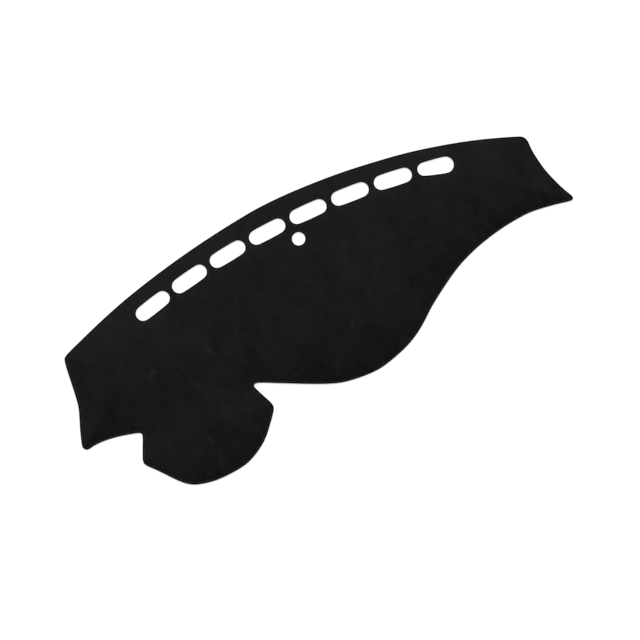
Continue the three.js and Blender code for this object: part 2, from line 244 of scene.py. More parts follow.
def left_of(line, closed):
    """Unit vectors to the left of a line at its points."""
    if closed:
        ahead = np.roll(line, -1, axis=0) - np.roll(line, 1, axis=0)
    else:
        ahead = np.gradient(line, axis=0)
    ahead = ahead / np.linalg.norm(ahead, axis=1)[:, None]
    return np.stack([-ahead[:, 1], ahead[:, 0]], axis=1)


def nearest_on(line, points, closed):
    """For each point: the distance to a line, the length along it and the side, positive on the left."""
    start = line if closed else line[:-1]
    step = (np.roll(line, -1, axis=0) if closed else line[1:]) - start
    length = np.linalg.norm(step, axis=1)
    before = np.concatenate([[0], np.cumsum(length)])[:-1]
    distance, along, side = (np.empty(len(points)) for _ in range(3))
    for first in range(0, len(points), CHUNK):
        chunk = points[first : first + CHUNK]
        apart = chunk[:, None, :] - start[None]
        share = np.clip((apart * step).sum(2) / length**2, 0, 1)
        off = apart - share[..., None] * step
        gap = np.hypot(off[..., 0], off[..., 1])
        best = gap.argmin(axis=1)
        row = np.arange(len(chunk))
        distance[first : first + CHUNK] = gap[row, best]
        along[first : first + CHUNK] = before[best] + share[row, best] * length[best]
        cross = step[best, 0] * apart[row, best, 1] - step[best, 1] * apart[row, best, 0]
        side[first : first + CHUNK] = np.where(cross < 0, -1, 1)
    return distance, along, side


def nearest_of(lines, points, closed):
    """For each point: the distance to the nearest of several lines."""
    return np.min([nearest_on(line, points, closed)[0] for line in lines], axis=0)


def inside(line, points):
    """Whether each point lies inside a closed line."""
    result = np.zeros(len(points), bool)
    x, y = points[:, 0], points[:, 1]
    for a, b in zip(line, np.roll(line, -1, axis=0)):
        if a[1] == b[1]:
            continue
        crossing = (a[1] > y) != (b[1] > y)
        result ^= crossing & (x < (b[0] - a[0]) * (y - a[1]) / (b[1] - a[1]) + a[0])
    return result


def ease(low, high, value):
    """Smooth step from 0 at low to 1 at high."""
    share = np.clip((value - low) / (high - low), 0, 1)
    return share * share * (3 - 2 * share)


# Lines that the mat follows

EDGE_SPACING = 3.6 * MM
DART_SPACING = 2.4 * MM
DART_FIT_POINTS = 60


def edge_line(node, clockwise):
    """The finished edge at a rim thread, smooth and evenly spaced."""
    return smooth_closed(finished_line(node, clockwise), EDGE_SPACING)


outer_line = edge_line(OUTER_NODE, clockwise=False)
opening_lines = {name: edge_line(name, clockwise=True) for name in OPENING_NODES}
all_lines = [outer_line, *opening_lines.values()]


def dart_line(node):
    """Centre line of a dart from its mouth at the edge to its tip, as a smooth bow through its thread."""
    points = welded(node)[0][:, :2]
    middle = points.mean(axis=0)
    far = points[np.linalg.norm(points - middle, axis=1).argmax()]
    other = points[np.linalg.norm(points - far, axis=1).argmax()]
    mouth, tip = sorted((far, other), key=lambda end: nearest_on(outer_line, end[None], True)[0][0])
    way = (tip - mouth) / np.linalg.norm(tip - mouth)
    left = np.array([-way[1], way[0]])
    along, across = (points - mouth) @ way, (points - mouth) @ left
    bow = np.polynomial.Polynomial.fit(along, across, 3)
    at = np.linspace(0, along.max(), DART_FIT_POINTS)
    return evenly(mouth + at[:, None] * way + bow(at)[:, None] * left, DART_SPACING)


dart_lines = {name: dart_line(name) for name in DART_NODES}


# How the sheet lies

RELIEF_STEP = 6 * MM
RELIEF_MARGIN = 50 * MM
# Softening of the height, in steps: its width, and how far it reaches
RELIEF_SOFTNESS = 3
RELIEF_REACH = 8
# Soft creases left from the folded pack: start, end, half width and height, in metres
CREASES = [
    ((0.418, 0.142), (0.376, 0.012), 0.016, 0.9 * MM),
    ((0.120, 0.118), (0.052, -0.052), 0.018, 0.9 * MM),
    ((0.226, 0.056), (0.164, -0.106), 0.017, 0.7 * MM),
    ((-0.070, 0.052), (-0.112, -0.096), 0.020, 0.8 * MM),
    ((-0.226, 0.078), (-0.268, -0.028), 0.015, 0.6 * MM),
    ((-0.352, -0.064), (-0.414, -0.186), 0.020, 1.0 * MM),
    ((-0.556, 0.060), (-0.588, -0.060), 0.016, 0.7 * MM),
    ((0.548, 0.166), (0.520, 0.060), 0.018, 0.6 * MM),
]
CREASE_POINTS = 9
CREASE_BOW = 6 * MM
CREASE_FADE = 0.35
# Broad waves and smaller ripples: how often they come along X and Y, and their share of the height
WAVE_RATE = (5.0, 7.0)
RIPPLE_RATE = (14.0, 9.0)
RIPPLE_LEAN = 5.0
WAVE_SHARE = 0.6
RIPPLE_SHARE = 0.35
# Slices of the noise that the waves and the ripples are read from
WAVE_SLICE = 3.1
RIPPLE_SLICE = 8.7
# The sheet lies flat up to the first distance from its edge, and is free of it from the second
FLAT_TO = 4 * MM
FREE_FROM = 70 * MM


@functools.cache
def relief_grid():
    """Height of the sheet's underside on an even grid, read from the CAD sheet and softened."""
    points, triangles = welded(PANEL_NODE)
    tree = BVHTree.FromPolygons([Vector(p) for p in points], triangles.tolist())
    low, high = cad_box[0], cad_box[1]
    columns = np.arange(low.x - RELIEF_MARGIN, high.x + RELIEF_MARGIN, RELIEF_STEP)
    rows = np.arange(low.y - RELIEF_MARGIN, high.y + RELIEF_MARGIN, RELIEF_STEP)
    heights = np.zeros((len(rows), len(columns)))
    cloth = bpy.context.scene.dash_mat_cloth.thickness
    for row, y in enumerate(rows):
        for column, x in enumerate(columns):
            hit = tree.ray_cast(Vector((x, y, 1)), Vector((0, 0, -1)))[0]
            if hit is not None:
                heights[row, column] = max(hit.z - cloth, 0)
    kernel = np.exp(-0.5 * (np.arange(-RELIEF_REACH, RELIEF_REACH + 1) / RELIEF_SOFTNESS) ** 2)
    kernel /= kernel.sum()
    for axis in (0, 1):
        heights = np.apply_along_axis(np.convolve, axis, heights, kernel, mode="same")
    return columns, rows, heights


def read_grid(grid, points):
    """Height at each point, from the four grid corners around it."""
    columns, rows, heights = grid
    u = np.clip((points[:, 0] - columns[0]) / RELIEF_STEP, 0, len(columns) - 1.001)
    v = np.clip((points[:, 1] - rows[0]) / RELIEF_STEP, 0, len(rows) - 1.001)
    i, j = u.astype(int), v.astype(int)
    u, v = u - i, v - j
    near = heights[j, i] * (1 - u) + heights[j, i + 1] * u
    far = heights[j + 1, i] * (1 - u) + heights[j + 1, i + 1] * u
    return near * (1 - v) + far * v


def lift(grid, points, to_edge):
    """How far the sheet lies off the floor: its domes, broad waves and soft creases."""
    cloth = bpy.context.scene.dash_mat_cloth
    (wave_x, wave_y), (ripple_x, ripple_y) = WAVE_RATE, RIPPLE_RATE
    waves = [noise.noise(Vector((x * wave_x, y * wave_y, WAVE_SLICE))) for x, y in points]
    ripples = [
        noise.noise(Vector((x * ripple_x + y * RIPPLE_LEAN, y * ripple_y, RIPPLE_SLICE))) for x, y in points
    ]
    swell = cloth.waves * (0.5 + 0.5 * np.array(waves)) * WAVE_SHARE
    swell = swell + cloth.waves * RIPPLE_SHARE * np.maximum(ripples, 0)
    bow = CREASE_BOW * np.sin(np.linspace(0, math.pi, CREASE_POINTS))[:, None]
    for start, end, width, height in CREASES:
        line = np.linspace(start, end, CREASE_POINTS)
        line += left_of(line, closed=False) * bow
        distance, along, _ = nearest_on(line, points, closed=False)
        whole = np.linalg.norm(np.subtract(end, start))
        fade = ease(0, CREASE_FADE * whole, along) * (1 - ease((1 - CREASE_FADE) * whole, whole, along))
        swell = swell + height * fade * np.exp(-((distance / width) ** 2))
    return read_grid(grid, points) + swell * ease(FLAT_TO, FREE_FROM, to_edge)


# Folds that gather at the tip of a dart: how far aside they start, and the first and last point of
# the dart's line that they run along, counted from its tip
TIP_FOLDS = [(-4.4 * MM, 0, 19), (3.8 * MM, 2, 17), (0.6 * MM, 6, 24)]
TIP_FOLD_CLOSING = 0.25
TIP_FOLD_WIDTH = 1.0 * MM
# Shares of a fold's length: where it has risen, where it starts to fade and where it has gone
FOLD_RISEN = 0.2
FOLD_FADES, FOLD_GONE = 0.4, 0.95
# Strength of the painted highlight on the fold crests, added to the nap attribute
FOLD_HIGHLIGHT = 2.0


@functools.cache
def tip_folds():
    """Lines of the folds at the dart tips, which run back from the tip and close in on the seam."""
    folds = []
    for line in dart_lines.values():
        back, normal = line[::-1], left_of(line, closed=False)[::-1]
        for aside, first, last in TIP_FOLDS:
            spread = np.linspace(1, TIP_FOLD_CLOSING, last - first)[:, None]
            folds.append(back[first:last] + normal[first:last] * aside * spread)
    return folds


def fold_share(points):
    """How much of a fold's crest each point has, from 0 to 1."""
    share = np.zeros(len(points))
    for fold in tip_folds():
        distance, along, _ = nearest_on(fold, points, closed=False)
        whole = np.linalg.norm(fold[-1] - fold[0])
        gone = ease(FOLD_FADES * whole, FOLD_GONE * whole, along)
        fade = ease(0, FOLD_RISEN * whole, along) * (1 - gone)
        share = np.maximum(share, fade * np.exp(-((distance / TIP_FOLD_WIDTH) ** 2)))
    return share


GROOVE_WIDTH = 1.25 * MM
LIP_ASIDE = 3.6 * MM
LIP_WIDTH = 1.9 * MM
SHALLOW_TIP = 22 * MM
# Puckers: their step along the dart and its slow drift, the turns in radians that the drift and the side
# of the seam give them, their share at the tip, and the distances aside that they start and fade in
PUCKER_STEP = 1.9 * MM
PUCKER_DRIFT = 11 * MM
PUCKER_DRIFT_TURN = 2.1
PUCKER_SIDE_TURN = 0.9
PUCKER_AT_TIP = 0.35
PUCKER_START = 2 * MM
PUCKER_REACH = 9 * MM


def dart_shape(points):
    """Groove, rolled lips and small waves along the darts, added to the sheet's top."""
    cloth = bpy.context.scene.dash_mat_cloth
    shape = np.zeros(len(points))
    for number, line in enumerate(dart_lines.values()):
        distance, along, side = nearest_on(line, points, closed=False)
        whole = along.max()
        fade = 1 - ease(whole - SHALLOW_TIP, whole, along)
        beside = np.where(along >= whole - 1e-6, 0, 1)
        groove = -cloth.seam_depth * np.exp(-((distance / GROOVE_WIDTH) ** 2)) * fade
        lip = cloth.seam_lip * np.exp(-(((distance - LIP_ASIDE) / LIP_WIDTH) ** 2)) * fade
        drift = PUCKER_DRIFT_TURN * np.sin(along / PUCKER_DRIFT)
        wave = np.sin(along / PUCKER_STEP + drift + side * PUCKER_SIDE_TURN + number)
        near = np.exp(-distance / PUCKER_REACH) * (1 - np.exp(-distance / PUCKER_START))
        pucker = cloth.pucker * wave * near
        shape += groove + lip * beside + pucker * (PUCKER_AT_TIP + (1 - PUCKER_AT_TIP) * fade) * beside
    return shape + cloth.tip_fold * fold_share(points)


# How far in from the windscreen edge, the front edges and the openings the painted light and shade reach:
# painted light at the windscreen and round the openings, painted shade at the front
WINDSCREEN_LIGHT_REACH = 75 * MM
FRONT_SHADE_REACH = 60 * MM
OPENING_LIGHT_REACH = 30 * MM
OPENING_LIGHT_SHARE = 0.5


def painted_light_and_shade(points, to_outer, to_openings):
    """Painted light and shade for the nap attribute: from -1, painted shade at the front, to 1, painted light
    at the windscreen and round the openings, and more as a painted highlight on the fold crests.
    """
    _, along, _ = nearest_on(outer_line, points, closed=True)
    outward = -left_of(outer_line, closed=True)[:, 1]
    spacing = np.linalg.norm(outer_line[1] - outer_line[0])
    facing = outward[np.minimum((along / spacing).astype(int), len(outward) - 1)]
    # Painted light towards the windscreen and round the openings, painted shade towards the front edges
    raised = np.maximum(facing, 0) * np.exp(-to_outer / WINDSCREEN_LIGHT_REACH)
    laid = np.maximum(-facing, 0) * np.exp(-to_outer / FRONT_SHADE_REACH)
    opening_light = OPENING_LIGHT_SHARE * np.exp(-to_openings / OPENING_LIGHT_REACH)
    # The fold share adds a painted highlight on the fold crests at the dart tips
    return np.clip(raised + opening_light - laid, -1, 1) + FOLD_HIGHLIGHT * fold_share(points)


# The cloth

BORDER_INSET = 0.45 * MM
# Rows of points that follow the edges and the darts, and the gaps that are kept round them
EDGE_ROWS = (2.9 * MM, 5 * MM, 7.4 * MM)
EDGE_ROWS_CLEAR = 9.4 * MM
BORDER_CLEAR = 2.2 * MM
# The share of a row's distance that its points keep from the edge, or they are left out
ROW_KEEPS = 0.97
# Height of an even triangle, as a share of its side
TRIANGLE_HEIGHT = math.sqrt(0.75)
DART_ROWS = (-5.6, -3.6, -2, -0.9, 0, 0.9, 2, 3.6, 5.6)
DART_ROWS_CLEAR = 6.6 * MM
DENSE_TO = 20 * MM
# The rim: where the threads' squeeze starts to let go and where it ends, and the dip of the needle line
SQUEEZE_HOLDS = 4.4 * MM
SQUEEZE_ENDS = 9.5 * MM
NEEDLE_DIP = 0.22 * MM
NEEDLE_LINE = 5 * MM
NEEDLE_DIP_WIDTH = 0.9 * MM
MERGE = 1e-7


def edge_ring(line, distance):
    """Points at a distance inside a closed line, without those that a tight corner pushes together."""
    ring = line + left_of(line, closed=True) * distance
    clear = nearest_on(line, ring, closed=True)[0] > ROW_KEEPS * distance
    return ring[clear]


def sheet_points(settings):
    """Border lines of the sheet, and the points that fill it."""
    borders = [line + left_of(line, closed=True) * BORDER_INSET for line in all_lines]
    rings = [edge_ring(line, distance) for line in all_lines for distance in EDGE_ROWS]
    beside_darts = []
    for line in dart_lines.values():
        normal = left_of(line, closed=False)
        beside_darts += [line + normal * offset * MM for offset in DART_ROWS]
    low, high = cad_box[0], cad_box[1]
    fine = settings.grid / 2
    row_step = fine * TRIANGLE_HEIGHT
    columns = np.arange(int((high.x - low.x) / fine) + 2)
    rows = np.arange(int((high.y - low.y) / row_step) + 2)
    i, j = (index.ravel() for index in np.meshgrid(columns, rows))
    lattice = np.stack([low.x + (i + 0.5 * (j % 2)) * fine, low.y + j * fine * TRIANGLE_HEIGHT], axis=1)
    coarse = (j % 2 == 0) & ((i + (j // 2) % 2) % 2 == 0)
    to_dart = nearest_of(dart_lines.values(), lattice, closed=False)
    lattice = lattice[(coarse | (to_dart < DENSE_TO)) & (to_dart > DART_ROWS_CLEAR)]
    lattice = lattice[inside(outer_line, lattice)]
    to_edge = nearest_of(all_lines, lattice, closed=True)
    in_hole = np.any([inside(line, lattice) for line in opening_lines.values()], axis=0)
    lattice = lattice[(to_edge > EDGE_ROWS_CLEAR) & ~in_hole]
    filling = np.vstack([*rings, *beside_darts])
    off_edge = nearest_of(all_lines, filling, closed=True)
    filling = filling[inside(outer_line, filling) & (off_edge > BORDER_CLEAR)]
    return borders, np.vstack([filling, lattice])


def triangulated(borders, filling):
    """Points and anticlockwise triangles between the borders."""
    points = np.vstack([*borders, filling])
    edges, first = [], 0
    for border in borders:
        count = len(border)
        edges += [(first + k, first + (k + 1) % count) for k in range(count)]
        first += count
    made, _, faces, *_ = delaunay_2d_cdt([Vector(p) for p in points], edges, [], 0, MERGE, False)
    made = np.array([tuple(p) for p in made])
    faces = np.array(faces, np.int32)
    centres = made[faces].mean(axis=1)
    in_cloth = inside(borders[0], centres)
    for border in borders[1:]:
        in_cloth &= ~inside(border, centres)
    faces = faces[in_cloth]
    a, b, c = (made[faces[:, k]] for k in range(3))
    turn = (b[:, 0] - a[:, 0]) * (c[:, 1] - a[:, 1]) - (b[:, 1] - a[:, 1]) * (c[:, 0] - a[:, 0])
    faces[turn < 0] = faces[turn < 0][:, ::-1]
    used = np.unique(faces)
    renumber = np.full(len(made), -1)
    renumber[used] = np.arange(len(used))
    return made[used], renumber[faces]


def open_edges(faces):
    """Edges that only one triangle uses, in its direction."""
    edges = np.vstack([faces[:, [0, 1]], faces[:, [1, 2]], faces[:, [2, 0]]])
    both = {(int(a), int(b)) for a, b in edges}
    return [(a, b) for a, b in both if (b, a) not in both]


def cloth_mesh(settings):
    """The closed sheet: its face, its back and the cut rim between them."""
    borders, filling = sheet_points(settings)
    points, faces = triangulated(borders, filling)
    to_outer = nearest_on(outer_line, points, closed=True)[0]
    to_openings = nearest_of(opening_lines.values(), points, closed=True)
    to_edge = np.minimum(to_outer, to_openings)
    height = lift(relief_grid(), points, to_edge)
    squeezed = settings.rim_squeeze * (1 - ease(SQUEEZE_HOLDS, SQUEEZE_ENDS, to_edge))
    needle_dip = NEEDLE_DIP * np.exp(-(((to_edge - NEEDLE_LINE) / NEEDLE_DIP_WIDTH) ** 2))
    face = height + settings.thickness - squeezed - needle_dip + dart_shape(points)
    back = height + squeezed
    count = len(points)
    corners = np.vstack([np.column_stack([points, face]), np.column_stack([points, back])])
    rim = [(a, a + count, b + count, b) for a, b in open_edges(faces)]
    mesh = bpy.data.meshes.new("mat_cloth")
    mesh.from_pydata(corners.tolist(), [], [*faces.tolist(), *(faces[:, ::-1] + count).tolist(), *rim])
    mesh.polygons.foreach_set("use_smooth", [True] * len(mesh.polygons))
    # The nap attribute carries painted light and shade: lighter towards the windscreen and openings, darker
    # towards the front edges, and painted highlights on the fold crests
    nap = mesh.attributes.new("nap", "FLOAT", "POINT")
    painted_shading = painted_light_and_shade(points, to_outer, to_openings)
    nap.data.foreach_set("value", np.tile(painted_shading, 2).astype(np.float32))
    mesh.materials.append(suede_material())
    mesh.materials.append(backing_material())
    slots = np.zeros(len(mesh.polygons), np.int32)
    slots[len(faces) :] = 1
    mesh.polygons.foreach_set("material_index", slots)
    mesh.validate()
    return mesh


def add_piece(name, mesh, slot, *nodes):
    """Links a finished mesh as a piece that rides on the mat and stands for its CAD nodes."""
    piece = bpy.data.objects.new(name, mesh)
    bpy.context.scene.collection.objects.link(piece)
    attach(piece, BODY)
    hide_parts(*nodes)
    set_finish(piece, slot)
    return piece


# Node helpers


def put(tree, kind, inputs=(), output=0, **settings):
    """Adds a node, sets its properties, feeds its inputs by name or number, and returns one output."""
    node = tree.nodes.new(kind)
    for name, value in settings.items():
        setattr(node, name, value)
    for key, value in dict(inputs).items():
        socket = node.inputs[key]
        if isinstance(value, bpy.types.NodeSocket):
            tree.links.new(value, socket)
        else:
            socket.default_value = value
    return node.outputs[output]


def geo(tree, operation, a, b=0.0, c=0.0):
    """One step of arithmetic."""
    return put(tree, "ShaderNodeMath", {0: a, 1: b, 2: c}, operation=operation)


def new_tree(name, kind, inputs, outputs):
    """A node group with named inputs, given as name: (socket type, default), and its two end nodes."""
    tree = bpy.data.node_groups.new(name, kind)
    for title, (socket_type, default) in inputs.items():
        socket = tree.interface.new_socket(name=title, in_out="INPUT", socket_type=socket_type)
        if default is not None:
            socket.default_value = default
    for title, socket_type in outputs.items():
        tree.interface.new_socket(name=title, in_out="OUTPUT", socket_type=socket_type)
    return tree, tree.nodes.new("NodeGroupInput").outputs, tree.nodes.new("NodeGroupOutput").inputs


# Stitches

# Points of one stitch, sides of its thread and how flat the thread is pressed
LOOPER_POINTS = (11, 6)
LOOPER_SIDES, LOOPER_FLATNESS = 4, 0.62
NEEDLE_POINTS = 6
NEEDLE_SIDES, NEEDLE_FLATNESS = 4, 0.8
SEAM_POINTS = 13
SEAM_SIDES, SEAM_FLATNESS = 6, 0.85
# The smallest that an uneven stitch gets across its line and in height, as a share
NARROWEST, LOWEST = 0.98, 0.97
# Shape of a looper stitch: how blunt its inner end is, its sinking in its radius and its lean in its pitch
LOOPER_BLUNTNESS = 1.5
LOOPER_SINK = 0.6
LOOPER_LEAN = 0.35
# Shape of a needle stitch: its length in its pitch, how late it dips, and its dip and rise in its radius
NEEDLE_SPAN = 0.96
NEEDLE_DIP_LATE = 4.0
NEEDLE_FALL = -2.6
NEEDLE_RISE = 0.25
# Shape of a dart stitch: how late its ends dip, and how far, in its radius
SEAM_DIP_LATE = 6.0
SEAM_FALL = -0.6


def stored(tree, geometry, name, value):
    """The geometry with a number kept at each point under a name."""
    return put(
        tree,
        "GeometryNodeStoreNamedAttribute",
        {"Geometry": geometry, "Name": name, "Value": value},
        data_type="FLOAT",
        domain="POINT",
    )


def swept(tree, path, radius, flatness, sides):
    """A thread of oval section along a path across the edge, which keeps its places along and around."""
    path = stored(tree, path, "along", put(tree, "GeometryNodeSplineParameter", output=1))
    path = put(tree, "GeometryNodeSetCurveNormal", {"Curve": path, "Normal": (1, 0, 0)}, mode="FREE")
    section = put(tree, "GeometryNodeCurvePrimitiveCircle", {"Resolution": sides, "Radius": radius})
    section = stored(tree, section, "around", put(tree, "GeometryNodeSplineParameter"))
    section = put(tree, "GeometryNodeTransform", {"Geometry": section, "Scale": (1, flatness, 1)})
    return put(tree, "GeometryNodeCurveToMesh", {"Curve": path, "Profile Curve": section, "Fill Caps": True})


def stitched_along(tree, line, stitch, pitch, unevenness, seed):
    """Copies of a stitch along a line: X along it, Y to its left and Z up, each a little turned and sized."""
    points = tree.nodes.new("GeometryNodeCurveToPoints")
    points.mode = "LENGTH"
    tree.links.new(line, points.inputs["Curve"])
    tree.links.new(pitch, points.inputs["Length"])
    straight = put(
        tree,
        "FunctionNodeAxesToRotation",
        {"Primary Axis": (0, 0, 1), "Secondary Axis": points.outputs["Tangent"]},
        primary_axis="Z",
        secondary_axis="X",
    )
    most = put(tree, "ShaderNodeCombineXYZ", {0: 0.0, 1: 0.0, 2: unevenness})
    least = put(tree, "ShaderNodeVectorMath", {0: most, 3: -1.0}, operation="SCALE")
    bounds = {0: least, 1: most, "Seed": seed}
    wobble = put(tree, "FunctionNodeRandomValue", bounds, data_type="FLOAT_VECTOR")
    turned = put(
        tree,
        "FunctionNodeRotateRotation",
        {"Rotation": straight, "Rotate By": put(tree, "FunctionNodeEulerToRotation", {0: wobble})},
        rotation_space="LOCAL",
    )
    shortest = geo(tree, "SUBTRACT", 1.0, unevenness)
    smallest = put(tree, "ShaderNodeCombineXYZ", {0: shortest, 1: NARROWEST, 2: LOWEST})
    size = put(
        tree,
        "FunctionNodeRandomValue",
        {0: smallest, 1: (1.0, 1.0, 1.0), "Seed": geo(tree, "ADD", seed, 1.0)},
        data_type="FLOAT_VECTOR",
    )
    return put(
        tree,
        "GeometryNodeInstanceOnPoints",
        {"Points": points.outputs["Points"], "Instance": stitch, "Rotation": turned, "Scale": size},
    )


def finish_tree(tree, geometry, material, outputs):
    """Turns copies into real mesh, shades it smooth and gives it its material."""
    solid = put(tree, "GeometryNodeRealizeInstances", {"Geometry": geometry})
    smooth = put(tree, "GeometryNodeSetShadeSmooth", {"Geometry": solid})
    dressed_mesh = put(tree, "GeometryNodeSetMaterial", {"Geometry": smooth, "Material": material})
    tree.links.new(dressed_mesh, outputs[0])


# Inputs of every stitch tree, which each modifier sets again
STITCH_INPUTS = {
    "Geometry": ("NodeSocketGeometry", None),
    "Pitch": ("NodeSocketFloat", 2.4 * MM),
    "Reach": ("NodeSocketFloat", 4.8 * MM),
    "Thickness": ("NodeSocketFloat", 3 * MM),
    "Radius": ("NodeSocketFloat", 0.4 * MM),
    "Unevenness": ("NodeSocketFloat", 0.08),
    "Seed": ("NodeSocketInt", 0),
    "Material": ("NodeSocketMaterial", None),
}


def path_points(tree, count):
    """A straight run of points from 0 to 1, and the share of the way along at each."""
    line = put(tree, "GeometryNodeCurvePrimitiveLine", {"Start": (0, 0, 0), "End": (1, 0, 0)})
    line = put(tree, "GeometryNodeResampleCurve", {"Curve": line, "Count": count}, mode="COUNT")
    return line, put(tree, "GeometryNodeSplineParameter")


def moved_to(tree, line, x, y, z):
    """The run of points at new places."""
    place = put(tree, "ShaderNodeCombineXYZ", {0: x, 1: y, 2: z})
    return put(tree, "GeometryNodeSetPosition", {"Geometry": line, "Position": place})


def looper_half(tree, inputs, count, side):
    """One looper thread, from the edge to the needle line and back: over the face at 1, the back at -1."""
    line, share = path_points(tree, count)
    half = geo(tree, "MULTIPLY", inputs["Thickness"], 0.5)
    inner = geo(tree, "SUBTRACT", inputs["Reach"], inputs["Radius"])
    from_middle = geo(tree, "ABSOLUTE", geo(tree, "MULTIPLY_ADD", share, 2.0, -1.0))
    inwards = geo(tree, "SUBTRACT", 1.0, geo(tree, "POWER", from_middle, LOOPER_BLUNTNESS))
    y = geo(tree, "MULTIPLY_ADD", inwards, inner, inputs["Radius"])
    bend = geo(tree, "MINIMUM", geo(tree, "DIVIDE", geo(tree, "MULTIPLY", inwards, inner), half), 1.0)
    left = geo(tree, "SUBTRACT", 1.0, bend)
    rise = geo(tree, "SQRT", geo(tree, "SUBTRACT", 1.0, geo(tree, "MULTIPLY", left, left)))
    sunk = geo(tree, "SUBTRACT", half, geo(tree, "MULTIPLY", inputs["Radius"], LOOPER_SINK))
    z = geo(tree, "MULTIPLY_ADD", geo(tree, "MULTIPLY", rise, sunk), float(side), half)
    x = geo(tree, "MULTIPLY", geo(tree, "SUBTRACT", share, 0.5), inputs["Pitch"])
    lean = geo(tree, "MULTIPLY", inwards, geo(tree, "MULTIPLY", inputs["Pitch"], LOOPER_LEAN * side))
    path = moved_to(tree, line, geo(tree, "ADD", x, lean), y, z)
    return swept(tree, path, inputs["Radius"], LOOPER_FLATNESS, LOOPER_SIDES)


def stitch_tree(name):
    """An empty stitch tree with its inputs."""
    return new_tree(name, "GeometryNodeTree", STITCH_INPUTS, {"Geometry": "NodeSocketGeometry"})


def finish_stitches(tree, inputs, outputs, stitch):
    """Lays copies of a stitch along the tree's line and finishes them."""
    line, pitch = inputs["Geometry"], inputs["Pitch"]
    copies = stitched_along(tree, line, stitch, pitch, inputs["Unevenness"], inputs["Seed"])
    finish_tree(tree, copies, inputs["Material"], outputs)
    return tree


def overlock_tree():
    """Looper threads round a cut edge. The line is the edge at floor height, with the cloth on its left."""
    tree, inputs, outputs = stitch_tree("overlock_stitches")
    stitch = tree.nodes.new("GeometryNodeJoinGeometry")
    over_face, over_back = LOOPER_POINTS
    for half in (looper_half(tree, inputs, over_face, 1), looper_half(tree, inputs, over_back, -1)):
        tree.links.new(half, stitch.inputs[0])
    return finish_stitches(tree, inputs, outputs, stitch.outputs[0])


def needle_tree():
    """A line of short stitches that dip into the cloth at both ends."""
    tree, inputs, outputs = stitch_tree("needle_stitches")
    line, share = path_points(tree, NEEDLE_POINTS)
    centred = geo(tree, "SUBTRACT", share, 0.5)
    x = geo(tree, "MULTIPLY", centred, geo(tree, "MULTIPLY", inputs["Pitch"], NEEDLE_SPAN))
    dip = geo(tree, "POWER", geo(tree, "ABSOLUTE", geo(tree, "MULTIPLY", centred, 2.0)), NEEDLE_DIP_LATE)
    fall = geo(tree, "MULTIPLY", dip, geo(tree, "MULTIPLY", inputs["Radius"], NEEDLE_FALL))
    above = geo(tree, "MULTIPLY_ADD", inputs["Radius"], NEEDLE_RISE, fall)
    path = moved_to(tree, line, x, 0.0, geo(tree, "ADD", inputs["Thickness"], above))
    stitch = swept(tree, path, inputs["Radius"], NEEDLE_FLATNESS, NEEDLE_SIDES)
    return finish_stitches(tree, inputs, outputs, stitch)


def seam_tree():
    """A zigzag thread that draws the sides of a dart together. The line is the bottom of the groove."""
    tree, inputs, outputs = stitch_tree("seam_stitches")
    line, share = path_points(tree, SEAM_POINTS)
    swing = geo(tree, "COSINE", geo(tree, "MULTIPLY", share, 2 * math.pi))
    y = geo(tree, "MULTIPLY", swing, geo(tree, "MULTIPLY", inputs["Reach"], 0.5))
    x = geo(tree, "MULTIPLY", geo(tree, "SUBTRACT", share, 0.5), inputs["Pitch"])
    dip = geo(tree, "POWER", geo(tree, "ABSOLUTE", swing), SEAM_DIP_LATE)
    sink = geo(tree, "MULTIPLY", dip, SEAM_FALL)
    z = geo(tree, "MULTIPLY_ADD", sink, inputs["Radius"], inputs["Thickness"])
    path = moved_to(tree, line, x, y, z)
    stitch = swept(tree, path, inputs["Radius"], SEAM_FLATNESS, SEAM_SIDES)
    return finish_stitches(tree, inputs, outputs, stitch)


# Tacks at the tip of a dart: how many, and for the first one its start behind the tip and its length, with
# the steps by which the next ones start later, are shorter, lie aside and turn away
TACKS = 3
TACK_START, TACK_START_STEP = 5.5, 1.2
TACK_LENGTH, TACK_LENGTH_STEP = 8.5, 0.8
TACK_ASIDE = 1.7
TACK_TURN = 1.3
TACK_SPACING = 0.9 * MM


def tack_line(line, number):
    """A loose stitch that holds the tip of a dart, a little off its line."""
    heading = line[-1] - line[-3]
    heading = heading / np.linalg.norm(heading)
    left = np.array([-heading[1], heading[0]])
    aside = (number - 1) * TACK_ASIDE * MM
    start = line[-1] + left * aside - heading * (TACK_START - TACK_START_STEP * number) * MM
    end = start + heading * (TACK_LENGTH - TACK_LENGTH_STEP * number) * MM
    end = end + left * (number - 1) * TACK_TURN * MM
    return evenly(np.array([start, end]), TACK_SPACING)


def stitched_mesh(name, tree, points, closed, values):
    """The mesh that a stitch tree makes along a line of points."""
    curve = bpy.data.curves.new(name + "_line", "CURVE")
    curve.dimensions = "3D"
    spline = curve.splines.new("POLY")
    spline.points.add(len(points) - 1)
    spline.points.foreach_set("co", np.column_stack([points, np.ones(len(points))]).ravel())
    spline.use_cyclic_u = closed
    guide = bpy.data.objects.new(name + "_line", curve)
    bpy.context.scene.collection.objects.link(guide)
    modifier = guide.modifiers.new("Stitches", "NODES")
    modifier.node_group = tree
    for item in tree.interface.items_tree:
        if item.in_out == "INPUT" and item.name in values:
            modifier[item.identifier] = values[item.name]
    evaluated = guide.evaluated_get(bpy.context.evaluated_depsgraph_get())
    mesh = bpy.data.meshes.new_from_object(evaluated)
    guide.modifiers.clear()
    bpy.data.objects.remove(guide)
    bpy.data.curves.remove(curve)
    if not len(mesh.polygons):
        raise RuntimeError(f"{name}: the stitch tree made no faces")
    mesh.name = name
    return mesh


def edge_height(line):
    """How far the edge lies off the floor along a line."""
    return lift(relief_grid(), line, nearest_of(all_lines, line, closed=True))


